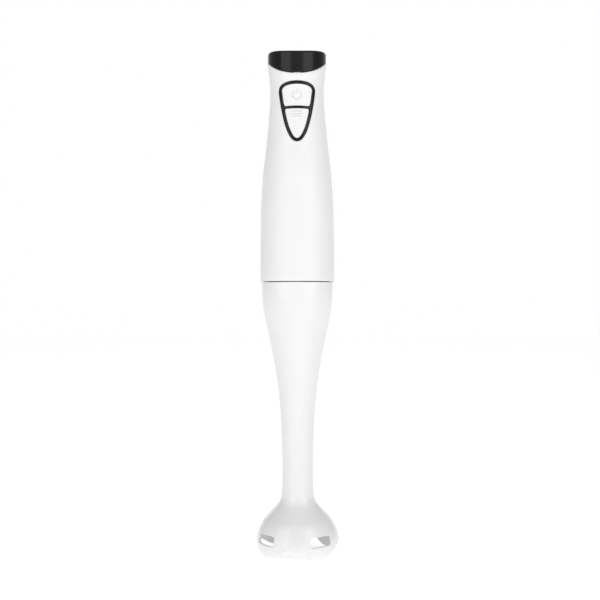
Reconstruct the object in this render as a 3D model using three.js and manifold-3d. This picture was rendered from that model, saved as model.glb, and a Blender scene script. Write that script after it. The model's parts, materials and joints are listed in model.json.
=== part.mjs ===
// Immersion blender with a detachable blending leg, standing on its bell guard.
// Millimetres, +Z up along the blender's axis, origin in the plane of the four feet.
// The front, where the buttons are, faces -Y. Azimuths are degrees from the front towards +X.

import * as THREE from 'three';
import { mergeVertices } from 'three/addons/utils/BufferGeometryUtils.js';
import Module from 'manifold-3d';

const wasm = await Module();
wasm.setup();

// ---------------------------------------------------------------- driving dimensions

const CLEARANCE = 0.3;            // between pieces that touch
const WALL = 2.2;                 // plastic mouldings
const ROUND = 32;                 // sides of the large turned pieces
const MEDIUM = 20;                // sides of turned pieces about as wide as a thumb
const SMALL = 12;                 // sides of shafts, bushes and screws

const SEAM = 207;                 // height where the leg meets the motor unit
const CASE_BOTTOM = SEAM + CLEARANCE;
const LEG_TOP = SEAM - CLEARANCE;
const NECK_SPLIT = 46;            // the leg moulding is made in two pieces, which meet here
const TOTAL_HEIGHT = 383;

const CASE_OUTLINE = [            // [height, radius] of the motor unit
  [207, 28.4], [236, 28.2], [262, 27.8], [288, 26.3], [308, 24.0],
  [328, 22.0], [350, 20.6], [364, 21.4], [377, 23.2],
];
const LEG_OUTLINE = [             // [height, radius] of the leg above the neck
  [46, 12.2], [64, 11.7], [82, 12.2], [101, 12.8], [119, 14.2], [138, 16.5],
  [156, 19.9], [169, 22.5], [181, 25.2], [193, 27.0], [207, 27.7],
];
const BELL_OUTLINE = [            // [height, radius] of the bell guard, outside
  [0, 28.8], [5, 30.7], [9.8, 31.5], [14, 30.9], [18.5, 29.3], [25, 25.8],
  [29.6, 21.8], [34, 17.6], [37.5, 14.7], [41, 13.0], [46, 12.2],
];
const BELL_LINING = [             // [height, radius] of the bell guard, inside
  [0, 26.6], [5, 28.5], [9.8, 29.3], [14, 28.7], [18.5, 27.0], [25, 23.0],
  [29.6, 18.6], [32.6, 14.5],
];

const FEET = 4;
const NOTCH_AZIMUTH = -9;         // middle of the front notch between two feet
const NOTCH_HEIGHT = 8.2;
const FOOT_SINK = 0.5;            // the wavy rim dips this far below the feet's flat lands
const FIRST_WINDOW_AZIMUTH = 36;  // the four windows are a quarter turn apart
const WINDOW = { width: 19, height: 7, middle: 13.7, corner: 2.6 };

const CAP_RADIUS = 22.4;
const CAP_SEAM_FRONT = 362.8;     // the seam under the cap is an arch, seen from the front,
const CAP_SEAM_RISE = 7.8;        // which rises this far towards the sides
const CAP_SEAM_FLICK = 3.2;       // and turns up by this much more at its ends
const CAP_TOP_FRONT = 379.3;      // the cap's top edge repeats the arch more gently
const CAP_EDGE = 2.8;

const LOOP = {                    // centre line of the button frame
  bottom: 312.3, shoulder: 349, top: 355.8, halfWidth: 12.4, stroke: 2.3,
};
const CROSSBAR = { middle: 336.9, height: 1.8 };
const ON_STEM = 346;              // heights of the two button stems
const TURBO_STEM = 327;

const NECK = { outside: 19.5, inside: 17, bottom: 187, plate: 213 };
const LUGS = 3;
const LUG = { reach: 21.5, bottom: 189, top: 192.5, halfAngle: 10 };
const LOCK_ANGLE = 30;            // turn of the leg that locks it to the motor unit
const SLOT_SPARE = 3;             // free degrees at each side of a lug

const MOTOR_SCREW_Y = 20;
const STACK = { bottom: 243, top: 267 };      // stator and rotor laminations
const SHAFT_RADIUS = 2.5;
const ROTOR_RADIUS = 14;
const ROTOR_SLOTS = 12;

const DRIVE_RADIUS = 3;           // the leg's drive shaft
const BLADE = { bottom: 12.4, thickness: 1.4, reach: 22, halfWidth: 5 };

// ---------------------------------------------------------------- materials

const finish = (color, roughness, metalness = 0) => ({ color, roughness, metalness });
const WHITE_SATIN = finish(0xf3f3f1, 0.5);
const WHITE_GLOSS = finish(0xf1f1f0, 0.25);
const BLACK_GLOSS = finish(0x1c1c1d, 0.2);
const BLACK_PLASTIC = finish(0x2a2a2c, 0.55);
const GREY_RUBBER = finish(0x55585a, 0.8);
const STEEL = finish(0xc4c7ca, 0.3, 1);
const LAMINATION = finish(0x6f7276, 0.5, 1);
const COPPER = finish(0xb5652f, 0.35, 1);
const BRASS = finish(0xc9a14a, 0.35, 1);
const BRONZE = finish(0xa9793f, 0.45, 1);
const CARBON = finish(0x26262a, 0.7);
const BOARD = finish(0xb59a5a, 0.6);

// ---------------------------------------------------------------- solids and placement

function toSolid(geometry) {
  const bare = geometry.clone();
  bare.deleteAttribute('normal');
  bare.deleteAttribute('uv');
  const merged = mergeVertices(bare, 1e-4);
  const index = merged.index.array;
  const triangles = [];
  for (let i = 0; i < index.length; i += 3) {
    const [a, b, c] = index.slice(i, i + 3);
    if (a !== b && b !== c && c !== a) triangles.push(a, b, c);
  }
  const build = (corners) => new wasm.Manifold(new wasm.Mesh({
    numProp: 3,
    vertProperties: merged.attributes.position.array,
    triVerts: new Uint32Array(corners),
  }));
  const solid = build(triangles);
  return solid.volume() > 0 ? solid : build(triangles.reverse());
}

function toGeometry(solid) {
  const mesh = solid.getMesh();
  const geometry = new THREE.BufferGeometry();
  geometry.setAttribute('position', new THREE.BufferAttribute(mesh.vertProperties, 3));
  geometry.setIndex(new THREE.BufferAttribute(mesh.triVerts, 1));
  geometry.computeVertexNormals();
  return geometry;
}

const join = (...parts) => toGeometry(parts.map(toSolid).reduce((all, part) => all.add(part)));
const cut = (...parts) => toGeometry(parts.map(toSolid).reduce((rest, part) => rest.subtract(part)));
const common = (...parts) => toGeometry(parts.map(toSolid).reduce((all, part) => all.intersect(part)));

const blender = new THREE.Group();

function add(name, geometry, look) {
  const mesh = new THREE.Mesh(toGeometry(toSolid(geometry)), new THREE.MeshStandardMaterial(look));
  mesh.name = name;
  blender.add(mesh);
}

// ---------------------------------------------------------------- shape helpers

const radians = THREE.MathUtils.degToRad;

// A smooth curve through [height, radius] stations, read at one height.
function radiusAt(stations, height) {
  const last = stations.length - 1;
  const slope = (i) => {
    const [lowHeight, lowRadius] = stations[Math.max(i - 1, 0)];
    const [highHeight, highRadius] = stations[Math.min(i + 1, last)];
    return (highRadius - lowRadius) / (highHeight - lowHeight);
  };
  const above = stations.findIndex(([stationHeight]) => stationHeight >= height);
  const i = above < 0 ? last : Math.max(above, 1);
  const [startHeight, startRadius] = stations[i - 1];
  const [endHeight, endRadius] = stations[i];
  const span = endHeight - startHeight;
  const t = (height - startHeight) / span;
  return startRadius * (2 * t ** 3 - 3 * t ** 2 + 1)
    + slope(i - 1) * span * (t ** 3 - 2 * t ** 2 + t)
    + endRadius * (3 * t ** 2 - 2 * t ** 3)
    + slope(i) * span * (t ** 3 - t ** 2);
}

// Profile points [radius, height] up (or down) a set of stations, moved outwards by offset.
function follow(stations, from, to, steps, offset = 0) {
  return Array.from({ length: steps + 1 }, (_, i) => {
    const height = from + ((to - from) * i) / steps;
    return [radiusAt(stations, height) + offset, height];
  });
}

// Turns a closed profile of [radius, height] points about the axis.
function revolve(profile, sides) {
  const points = [...profile, profile[0]].map(([radius, height]) => new THREE.Vector2(radius, height));
  return new THREE.LatheGeometry(points, sides).rotateX(Math.PI / 2);
}

const tube = (inside, outside, bottom, top, sides) => revolve(
  [[inside, bottom], [outside, bottom], [outside, top], [inside, top]],
  sides,
);

const rod = (radius, bottom, top, sides) => new THREE.CylinderGeometry(radius, radius, top - bottom, sides)
  .rotateX(Math.PI / 2)
  .translate(0, 0, (bottom + top) / 2);

const rodAlongY = (radius, front, back, x, z, sides) => new THREE.CylinderGeometry(
  radius,
  radius,
  back - front,
  sides,
).translate(x, (front + back) / 2, z);

const block = ([left, right], [front, back], [bottom, top]) => new THREE.BoxGeometry(
  right - left,
  back - front,
  top - bottom,
).translate((left + right) / 2, (front + back) / 2, (bottom + top) / 2);

// Extrusions: an outline drawn in XY goes up, one drawn in XZ goes back, one drawn in YZ goes right.
const extrude = (shape, depth) => new THREE.ExtrudeGeometry(shape, {
  depth,
  bevelEnabled: false,
  curveSegments: 3,
});
const extrudeUp = (shape, bottom, top) => extrude(shape, top - bottom).translate(0, 0, bottom);
const extrudeBack = (shape, front, back) => extrude(shape, back - front)
  .rotateX(Math.PI / 2)
  .translate(0, back, 0);
const extrudeRight = (shape, left, right) => extrude(shape, right - left)
  .rotateZ(Math.PI / 2)
  .rotateY(Math.PI / 2)
  .translate(left, 0, 0);

// A piece of a ring between two azimuths.
function sector(inside, outside, fromAzimuth, toAzimuth, bottom, top) {
  const start = radians(fromAzimuth - 90);
  const end = radians(toAzimuth - 90);
  const shape = new THREE.Shape();
  shape.absarc(0, 0, outside, start, end, false);
  shape.absarc(0, 0, inside, end, start, true);
  return extrudeUp(shape, bottom, top);
}

// A point at a radius and azimuth, as [x, y].
const polar = (radius, azimuth) => [
  radius * Math.sin(radians(azimuth)),
  -radius * Math.cos(radians(azimuth)),
];

function roundedRectangle(halfWidth, halfHeight, corner, middle = 0) {
  const shape = new THREE.Shape();
  const right = halfWidth - corner;
  const top = middle + halfHeight - corner;
  const bottom = middle - halfHeight + corner;
  shape.absarc(right, top, corner, 0, Math.PI / 2, false);
  shape.absarc(-right, top, corner, Math.PI / 2, Math.PI, false);
  shape.absarc(-right, bottom, corner, Math.PI, 1.5 * Math.PI, false);
  shape.absarc(right, bottom, corner, 1.5 * Math.PI, 2 * Math.PI, false);
  return shape;
}

// A wire spring along Y, around a stem.
class SpringPath extends THREE.Curve {
  constructor(radius, front, back, z, turns) {
    super();
    Object.assign(this, { radius, front, back, z, turns });
  }

  getPoint(t, target = new THREE.Vector3()) {
    const angle = 2 * Math.PI * this.turns * t;
    return target.set(
      this.radius * Math.cos(angle),
      this.front + (this.back - this.front) * t,
      this.z + this.radius * Math.sin(angle),
    );
  }
}

function spring(radius, wire, front, back, z, turns) {
  const section = new THREE.Shape();
  section.absarc(0, 0, wire, 0, 2 * Math.PI, false);
  return new THREE.ExtrudeGeometry(section, {
    steps: turns * 7,
    curveSegments: 3,
    bevelEnabled: false,
    extrudePath: new SpringPath(radius, front, back, z, turns),
  });
}

// ---------------------------------------------------------------- motor unit casing

const FAR = 40;                   // beyond every side of the blender

function capSeam(x) {
  const side = x / CAP_RADIUS;
  return CAP_SEAM_FRONT + CAP_SEAM_RISE * side ** 2 + CAP_SEAM_FLICK * side ** 6;
}

// Everything above an arch whose height depends only on x.
function aboveArch(heightAt, steps) {
  const halfWidth = CAP_RADIUS + 1.6;
  const arch = Array.from({ length: steps + 1 }, (_, i) => {
    const x = halfWidth * ((2 * i) / steps - 1);
    return new THREE.Vector2(x, heightAt(x));
  });
  const above = [halfWidth, -halfWidth].map((x) => new THREE.Vector2(x, TOTAL_HEIGHT + FAR));
  return extrudeBack(new THREE.Shape([...arch, ...above]), -FAR, FAR);
}

const aboveCapSeam = (offset) => aboveArch((x) => capSeam(x) + offset, 14);

// The closed line of the button frame, moved outwards from its centre line by an offset.
function loopOutline(offset) {
  const { bottom, shoulder, top, halfWidth } = LOOP;
  const at = (x, z) => new THREE.Vector2(x, z);
  const sides = [
    new THREE.CubicBezierCurve(at(0, bottom), at(6.2, bottom), at(10.2, 331), at(halfWidth, shoulder)),
    new THREE.CubicBezierCurve(at(halfWidth, shoulder), at(12.9, 353.2), at(10, top), at(0, top)),
  ];
  const steps = 7;
  const right = sides.flatMap((curve, part) => {
    const first = part === 0 ? 0 : 1;
    return Array.from({ length: steps + 1 - first }, (_, i) => {
      const t = (i + first) / steps;
      const along = curve.getTangent(t);
      return curve.getPoint(t).add(at(along.y, -along.x).multiplyScalar(offset));
    });
  });
  const left = right.slice(1, -1).reverse().map(({ x, y }) => at(-x, y));
  return new THREE.Shape([...right, ...left]);
}

// A layer that follows the front of the casing, between two offsets from its surface.
const casingLayer = (inner, outer) => revolve([
  ...follow(CASE_OUTLINE, 304, 360, 10, outer),
  ...follow(CASE_OUTLINE, 360, 304, 10, inner),
], ROUND);

function makeCasing() {
  const outside = follow(CASE_OUTLINE, CASE_BOTTOM, 377, 11);
  const inside = follow(CASE_OUTLINE, 377, CASE_BOTTOM, 6, -WALL);
  const buttonHole = extrudeBack(loopOutline(LOOP.stroke / 2 + CLEARANCE), -FAR, -5);
  const shell = cut(revolve([...outside, ...inside], ROUND), aboveCapSeam(-CLEARANCE / 2), buttonHole);
  const half = (front, back) => block([-FAR, FAR], [front, back], [CASE_BOTTOM - FAR, TOTAL_HEIGHT]);
  add('front_shell', common(shell, half(-FAR, -CLEARANCE / 2)), WHITE_SATIN);
  add('rear_shell', common(shell, half(CLEARANCE / 2, FAR)), WHITE_SATIN);
}

const CORD_HEIGHT = 372.3;
const CORD_BORE = 3.3;
const CORD_BUSH_RADIUS = 4.8;

function makeCap() {
  const edge = Array.from({ length: 5 }, (_, i) => {
    const turn = (i * Math.PI) / 8;
    return [
      CAP_RADIUS - CAP_EDGE * (1 - Math.cos(turn)),
      TOTAL_HEIGHT - CAP_EDGE * (1 - Math.sin(turn)),
    ];
  });
  const belowSeam = CAP_SEAM_FRONT - 1;
  const outside = revolve([[0, belowSeam], [CAP_RADIUS, belowSeam], ...edge, [0, TOTAL_HEIGHT]], ROUND);
  const topRise = TOTAL_HEIGHT - CAP_TOP_FRONT;
  const aboveTop = aboveArch((x) => CAP_TOP_FRONT + topRise * (x / CAP_RADIUS) ** 2, 8);
  const ceiling = CAP_TOP_FRONT - WALL;
  const inside = rod(CAP_RADIUS - WALL, belowSeam - 1, ceiling, ROUND);
  const cover = cut(common(outside, aboveCapSeam(CLEARANCE / 2)), inside);
  const spigot = tube(16.4, 18.2, belowSeam - 1, ceiling + 0.4, MEDIUM);
  const cordHole = rodAlongY(CORD_BUSH_RADIUS + CLEARANCE, 10, FAR, 0, CORD_HEIGHT, MEDIUM);
  add('top_cap', cut(join(cover, spigot), aboveTop, cordHole), BLACK_GLOSS);

  const flange = rodAlongY(7, CAP_RADIUS + CLEARANCE, CAP_RADIUS + 2, 0, CORD_HEIGHT, MEDIUM);
  const sleeve = rodAlongY(CORD_BUSH_RADIUS, 15.5, CAP_RADIUS + 1, 0, CORD_HEIGHT, MEDIUM);
  const bore = rodAlongY(CORD_BORE, 10, FAR, 0, CORD_HEIGHT, MEDIUM);
  add('cord_inlet_bush', cut(join(flange, sleeve), bore), BLACK_PLASTIC);
}

// ---------------------------------------------------------------- buttons and switches

const CARRIER_FRONT = -9.6;
const CARRIER_BACK = -7.8;
const STEM_RADIUS = 2.2;

function makeButtons() {
  const barLow = CROSSBAR.middle - CROSSBAR.height / 2;
  const barHigh = CROSSBAR.middle + CROSSBAR.height / 2;
  const frameDepth = 3.4;
  const proud = 0.4;

  const ring = cut(
    extrudeBack(loopOutline(LOOP.stroke / 2), -FAR, -5),
    extrudeBack(loopOutline(-LOOP.stroke / 2), -FAR, -4),
  );
  const crossbar = common(
    extrudeBack(loopOutline(0), -FAR, -5),
    block([-FAR, FAR], [-FAR, 0], [barLow, barHigh]),
  );
  const frame = common(join(ring, crossbar), casingLayer(-frameDepth, proud));
  add('button_frame', frame, BLACK_GLOSS);

  const button = (name, stemHeight, from, to) => {
    const outline = extrudeBack(loopOutline(-LOOP.stroke / 2 - CLEARANCE), -FAR, -5);
    const part = common(outline, block([-FAR, FAR], [-FAR, 0], [from, to]));
    const face = common(part, casingLayer(-3.2, 0.3));
    const front = -radiusAt(CASE_OUTLINE, stemHeight) + 2;
    const stem = rodAlongY(STEM_RADIUS, front, CARRIER_BACK - 1.1, 0, stemHeight, SMALL);
    const shoulder = rodAlongY(4.2, front, front + 2.2, 0, stemHeight, SMALL);
    add(name, join(face, stem, shoulder), WHITE_SATIN);
    const wire = 0.35;
    const coilRadius = STEM_RADIUS + CLEARANCE + wire + 0.1;
    const coilFront = front + 2.2 + CLEARANCE + wire;
    const coilBack = CARRIER_FRONT - CLEARANCE - wire;
    add(`${name}_spring`, spring(coilRadius, wire, coilFront, coilBack, stemHeight, 4), STEEL);
  };
  button('on_button', ON_STEM, barHigh + CLEARANCE, 400);
  button('turbo_button', TURBO_STEM, 300, barLow - CLEARANCE);
}

function makeSwitchUnit() {
  const stemHole = (z) => rodAlongY(STEM_RADIUS + 0.4, -FAR, 0, 0, z, SMALL);
  add('switch_carrier', cut(
    block([-13, 13], [CARRIER_FRONT, CARRIER_BACK], [309, 357]),
    stemHole(ON_STEM),
    stemHole(TURBO_STEM),
  ), BLACK_PLASTIC);

  const boardFront = -2.6;
  add('circuit_board', block([-12, 12], [boardFront, -1], [304, 357]), BOARD);
  for (const [name, z] of [['on_microswitch', ON_STEM], ['turbo_microswitch', TURBO_STEM]]) {
    add(name, join(
      block([-5, 5], [-6, boardFront - CLEARANCE], [z - 3, z + 3]),
      rodAlongY(1, -6.4, -5, 0, z, 10),
    ), BLACK_PLASTIC);
  }
  add('rectifier', block([-4.5, 4.5], [-1 + CLEARANCE, 3.2], [336, 345]), BLACK_PLASTIC);
  add('capacitor', block([-8, 8], [-1 + CLEARANCE, 6.5], [309, 322]), BRASS);
}

// ---------------------------------------------------------------- motor

const BRACKET_LOW = 220;          // underside of the lower motor bracket
const BRACKET_HIGH = 289;         // underside of the upper motor bracket
const POST = 3.3;                 // outside radius of the bracket posts

function atScrews(make) {
  return [-MOTOR_SCREW_Y, MOTOR_SCREW_Y].map((y) => make().translate(0, y, 0));
}

function makeMotorFrame() {
  const hole = 1.9;
  const screwHoles = () => atScrews(() => rod(hole, 200, 310, SMALL));

  const collarScrewHoles = COLLAR_SCREW_AZIMUTHS.map((azimuth) => {
    const [x, y] = polar(COLLAR_SCREW_RADIUS, azimuth);
    return rod(1.7, 200, 240, SMALL).translate(x, y, 0);
  });
  add('lower_bracket', cut(
    join(
      tube(5.3, 25.4, BRACKET_LOW, BRACKET_LOW + 3, MEDIUM),
      tube(5.3, 8, BRACKET_LOW, BRACKET_LOW + 6, MEDIUM),
      ...atScrews(() => rod(POST, BRACKET_LOW + 1, STACK.bottom - CLEARANCE, SMALL)),
    ),
    ...screwHoles(),
    ...collarScrewHoles,
  ), BLACK_PLASTIC);

  add('upper_bracket', cut(
    join(
      block([-5, 5], [-MOTOR_SCREW_Y, MOTOR_SCREW_Y], [BRACKET_HIGH, BRACKET_HIGH + 3.5]),
      block([-22, 22], [-4.5, 4.5], [BRACKET_HIGH, BRACKET_HIGH + 3.5]),
      rod(8, BRACKET_HIGH, BRACKET_HIGH + 9, MEDIUM),
      ...atScrews(() => rod(POST, STACK.top + CLEARANCE, BRACKET_HIGH + 1, SMALL)),
    ),
    rod(5.3, 280, 310, MEDIUM),
    ...screwHoles(),
  ), BLACK_PLASTIC);

  const bushBore = SHAFT_RADIUS + CLEARANCE;
  add('lower_motor_bush', tube(bushBore, 5, BRACKET_LOW - 0.5, BRACKET_LOW + 6, SMALL), BRONZE);
  add('upper_motor_bush', tube(bushBore, 5, BRACKET_HIGH + 1, BRACKET_HIGH + 9, SMALL), BRONZE);
  add('motor_mount_ring', tube(9, 18, 216.3, BRACKET_LOW - CLEARANCE, MEDIUM), GREY_RUBBER);

  for (const [name, y] of [['front_motor_screw', -MOTOR_SCREW_Y], ['rear_motor_screw', MOTOR_SCREW_Y]]) {
    const head = rod(3, BRACKET_HIGH + 3.8, BRACKET_HIGH + 6, SMALL);
    const shank = rod(1.5, 224, BRACKET_HIGH + 4, SMALL);
    add(name, join(head, shank).translate(0, y, 0), STEEL);
  }
}

function makeStator() {
  const { bottom, top } = STACK;
  const ears = atScrews(() => block([-4.5, 4.5], [-3.3, 3.3], [bottom, top]));
  const pole = (side) => {
    const [left, right] = side > 0 ? [16, 23] : [-23, -16];
    const azimuth = 90 * side;
    return [
      block([left, right], [-5.9, 5.9], [bottom, top]),
      sector(ROTOR_RADIUS + 0.6, 17.1, azimuth - 48, azimuth + 48, bottom, top),
    ];
  };
  add('stator_core', cut(
    join(tube(22.3, 24.9, bottom, top, ROUND), ...ears, ...pole(1), ...pole(-1)),
    ...atScrews(() => rod(1.9, 200, 310, SMALL)),
  ), LAMINATION);

  const middle = (bottom + top) / 2;
  const coilHalf = (top - bottom) / 2 + CLEARANCE;
  for (const [name, side] of [['left_field_coil', -1], ['right_field_coil', 1]]) {
    const outline = roundedRectangle(9.8, coilHalf + 3.4, 3, middle);
    outline.holes.push(roundedRectangle(6.2, coilHalf, 0.5, middle));
    const [left, right] = side > 0 ? [17.4, 19.6] : [-19.6, -17.4];
    add(name, extrudeRight(outline, left, right), COPPER);
  }
}

function makeBrushGear() {
  const holderTop = BRACKET_HIGH - CLEARANCE;
  const middle = holderTop - 4.5;
  for (const [side, name] of [[-1, 'left'], [1, 'right']]) {
    const span = (near, far) => (side > 0 ? [near, far] : [-far, -near]);
    add(`${name}_brush_holder`, cut(
      block(span(10.4, 21.5), [-4.3, 4.3], [holderTop - 9, holderTop]),
      block(span(5, 26), [-3.2, 3.2], [middle - 3.2, middle + 3.2]),
    ), BRASS);
    add(`${name}_carbon_brush`, block(span(9.4, 18), [-2.9, 2.9], [middle - 2.9, middle + 2.9]), CARBON);
  }
}

const SOCKET_BOTTOM = 195;
const DOG_BOTTOM = 198.5;         // the dog's wings and the socket's lugs overlap above this height
const DOG_TOP = 206.5;
const DOG_WIDTH = 30;             // degrees taken by each drive lug and each dog wing

function makeRotor() {
  const { bottom, top } = STACK;
  add('motor_shaft', rod(SHAFT_RADIUS, 208, 300, SMALL), STEEL);

  const bore = SHAFT_RADIUS + CLEARANCE;
  const slotPitch = 360 / ROTOR_SLOTS;
  const aroundSlots = (inside, outside, halfWidth, from, to) => Array.from(
    { length: ROTOR_SLOTS },
    (_, i) => block([inside, outside], [-halfWidth, halfWidth], [from, to]).rotateZ(radians(i * slotPitch)),
  );
  add('rotor_core', cut(
    tube(bore, ROTOR_RADIUS, bottom, top, MEDIUM),
    ...aroundSlots(7.4, ROTOR_RADIUS + 2, 1.3, bottom - 1, top + 1),
  ), LAMINATION);
  add('rotor_winding', join(
    tube(bore + 1, 12.6, bottom - 4, bottom - CLEARANCE, SMALL),
    tube(bore + 1, 12.6, top + CLEARANCE, top + 5, SMALL),
    ...aroundSlots(8, 12, 0.9, bottom - 1, top + 1),
  ), COPPER);
  add('commutator', tube(bore, 9, 276, 288, MEDIUM), COPPER);

  const fanLow = 228;
  const blades = Array.from({ length: 9 }, (_, i) => block([7, 16.2], [-0.5, 0.5], [fanLow + 1, fanLow + 8])
    .rotateZ(radians(40 * i)));
  add('cooling_fan', join(
    tube(bore, 7.5, fanLow, fanLow + 8, MEDIUM),
    tube(bore, 16.2, fanLow, fanLow + 1.4, MEDIUM),
    ...blades,
  ), WHITE_SATIN);

  const ceiling = DOG_TOP + 1;
  const cup = revolve([
    [bore, ceiling], [6, ceiling], [6, SOCKET_BOTTOM], [8.2, SOCKET_BOTTOM], [8.2, 209], [5, 212],
    [bore, 212],
  ], MEDIUM);
  const lugs = [0, 180].map((azimuth) => sector(
    3.6,
    7,
    azimuth - DOG_WIDTH / 2,
    azimuth + DOG_WIDTH / 2,
    DOG_BOTTOM + 1,
    ceiling,
  ));
  add('drive_socket', join(cup, ...lugs), BLACK_PLASTIC);
}

// ---------------------------------------------------------------- coupling between motor unit and leg

const COLLAR_SCREW_RADIUS = 22.5;
const COLLAR_SCREW_AZIMUTHS = [30, 150, 270];

function makeCollar() {
  const rim = radiusAt(CASE_OUTLINE, CASE_BOTTOM + 4) - WALL - CLEARANCE;
  const face = CASE_BOTTOM + 0.3;
  const body = revolve([
    [NECK.outside, NECK.bottom], [NECK.outside, face], [rim, face], [rim, 216], [4, 216],
    [4, NECK.plate], [NECK.inside, NECK.plate], [NECK.inside, NECK.bottom],
  ], ROUND);
  const lugs = Array.from({ length: LUGS }, (_, i) => {
    const azimuth = (360 / LUGS) * i;
    return sector(
      NECK.outside - 1,
      LUG.reach,
      azimuth - LUG.halfAngle,
      azimuth + LUG.halfAngle,
      LUG.bottom,
      LUG.top,
    );
  });
  const holes = COLLAR_SCREW_AZIMUTHS.flatMap((azimuth) => {
    const [x, y] = polar(COLLAR_SCREW_RADIUS, azimuth);
    return [
      rod(1.7, 200, 230, SMALL).translate(x, y, 0),
      rod(3.2, 200, 210.2, SMALL).translate(x, y, 0),
    ];
  });
  add('coupling_collar', cut(join(body, ...lugs), ...holes), BLACK_PLASTIC);

  COLLAR_SCREW_AZIMUTHS.forEach((azimuth, i) => {
    const [x, y] = polar(COLLAR_SCREW_RADIUS, azimuth);
    const screw = join(rod(2.9, 208, 209.9, SMALL), rod(1.4, 209, 222.5, SMALL));
    add(`collar_screw_${i + 1}`, screw.translate(x, y, 0), STEEL);
  });
}

const COUPLING_HEIGHTS = [181, 188, 194, 200, 205];      // where the leg's lining and the coupling meet
const COUPLING_TOP = COUPLING_HEIGHTS.at(-1);

function makeLegCoupling() {
  const outsideAt = (height) => radiusAt(LEG_OUTLINE, height) - WALL - CLEARANCE;
  const bore = NECK.outside + 0.4;
  const floor = NECK.bottom - 3.5;
  const body = revolve([
    ...COUPLING_HEIGHTS.map((height) => [outsideAt(height), height]),
    [bore, COUPLING_TOP], [bore, floor], [9, floor], [9, 189], [6.3, 189],
    [6.3, floor - 10], [9, floor - 10], [9, COUPLING_HEIGHTS[0]],
  ], ROUND);
  const reach = LUG.reach + 0.4;
  const half = LUG.halfAngle + SLOT_SPARE;
  const slots = Array.from({ length: LUGS }, (_, i) => {
    const azimuth = (360 / LUGS) * i;
    return [
      sector(bore - 1, reach, azimuth - half, azimuth + half, LUG.bottom - 0.6, COUPLING_TOP + 1),
      sector(bore - 1, reach, azimuth - half - LOCK_ANGLE, azimuth, LUG.bottom - 0.6, LUG.top + 0.6),
    ];
  }).flat();
  add('leg_coupling', cut(body, ...slots), WHITE_GLOSS);
  add('seal_ring', tube(reach + 0.1, 25, COUPLING_TOP + CLEARANCE, LEG_TOP + 0.1, ROUND), GREY_RUBBER);
}

// ---------------------------------------------------------------- blending leg

function makeLegTube() {
  const floor = NECK_SPLIT + 3.3;
  const outside = follow(LEG_OUTLINE, NECK_SPLIT + CLEARANCE, LEG_TOP, 12);
  const lining = [LEG_TOP, ...COUPLING_HEIGHTS.toReversed(), 165, 145, 120, 90, floor];
  const inside = lining.map((height) => [radiusAt(LEG_OUTLINE, height) - WALL, height]);
  const foot = [[3.9, floor], [3.9, NECK_SPLIT + CLEARANCE]];
  add('leg_tube', revolve([...outside, ...inside, ...foot], ROUND), WHITE_GLOSS);
  add('shaft_tube', tube(5, 7.5, floor + CLEARANCE, 173, MEDIUM), BLACK_PLASTIC);
}

// A flat-bottomed block whose wavy top leaves the four feet and cuts the notches between them.
function rimCutter() {
  const sides = 40;
  const depth = 20;
  const geometry = new THREE.CylinderGeometry(FAR, FAR, depth, sides, 1).rotateX(Math.PI / 2);
  const place = geometry.attributes.position;
  for (let i = 0; i < place.count; i += 1) {
    const x = place.getX(i);
    const y = place.getY(i);
    const onRing = Math.hypot(x, y) > 1;
    const wave = Math.cos(FEET * (Math.atan2(x, -y) - radians(NOTCH_AZIMUTH)));
    const rim = -FOOT_SINK + ((NOTCH_HEIGHT + FOOT_SINK) * (1 + wave)) / 2;
    const isTop = place.getZ(i) > 0;
    const height = onRing ? (rim * FAR) / BELL_OUTLINE[1][1] : 0;
    place.setZ(i, isTop ? height : -depth);
  }
  return geometry;
}

function makeBell() {
  const hub = { outside: 9.5, bottom: 24, seal: 6.3, sealTop: 29.3, bush: 5.8, bushTop: 42.3, bore: 3.9 };
  const outside = follow(BELL_OUTLINE, 0, NECK_SPLIT, 11);
  const lining = follow(BELL_LINING, 32.6, 0, 7);
  const centre = [
    [hub.bore, NECK_SPLIT], [hub.bore, hub.bushTop], [hub.bush, hub.bushTop], [hub.bush, hub.sealTop],
    [hub.seal, hub.sealTop], [hub.seal, hub.bottom], [hub.outside, hub.bottom], [hub.outside, 33.4],
  ];
  const window = (azimuth) => extrudeBack(
    roundedRectangle(WINDOW.width / 2, WINDOW.height / 2, WINDOW.corner, WINDOW.middle),
    -FAR,
    -20,
  ).rotateZ(radians(azimuth));
  const windows = Array.from({ length: FEET }, (_, i) => window(FIRST_WINDOW_AZIMUTH + 90 * i));
  const bell = revolve([...outside, ...centre, ...lining], ROUND);
  add('bell_guard', cut(bell, rimCutter(), ...windows), WHITE_GLOSS);

  const bore = DRIVE_RADIUS + CLEARANCE;
  const bush = tube(bore, hub.bush - CLEARANCE, hub.sealTop, hub.bushTop - CLEARANCE, SMALL);
  const seal = tube(bore, hub.seal - CLEARANCE, hub.bottom + 0.5, hub.sealTop - CLEARANCE, SMALL);
  add('lower_leg_bush', bush, BRONZE);
  add('shaft_seal', seal, GREY_RUBBER);
  add('upper_leg_bush', tube(bore, 6, 174, 189, SMALL), BRONZE);
}

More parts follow.
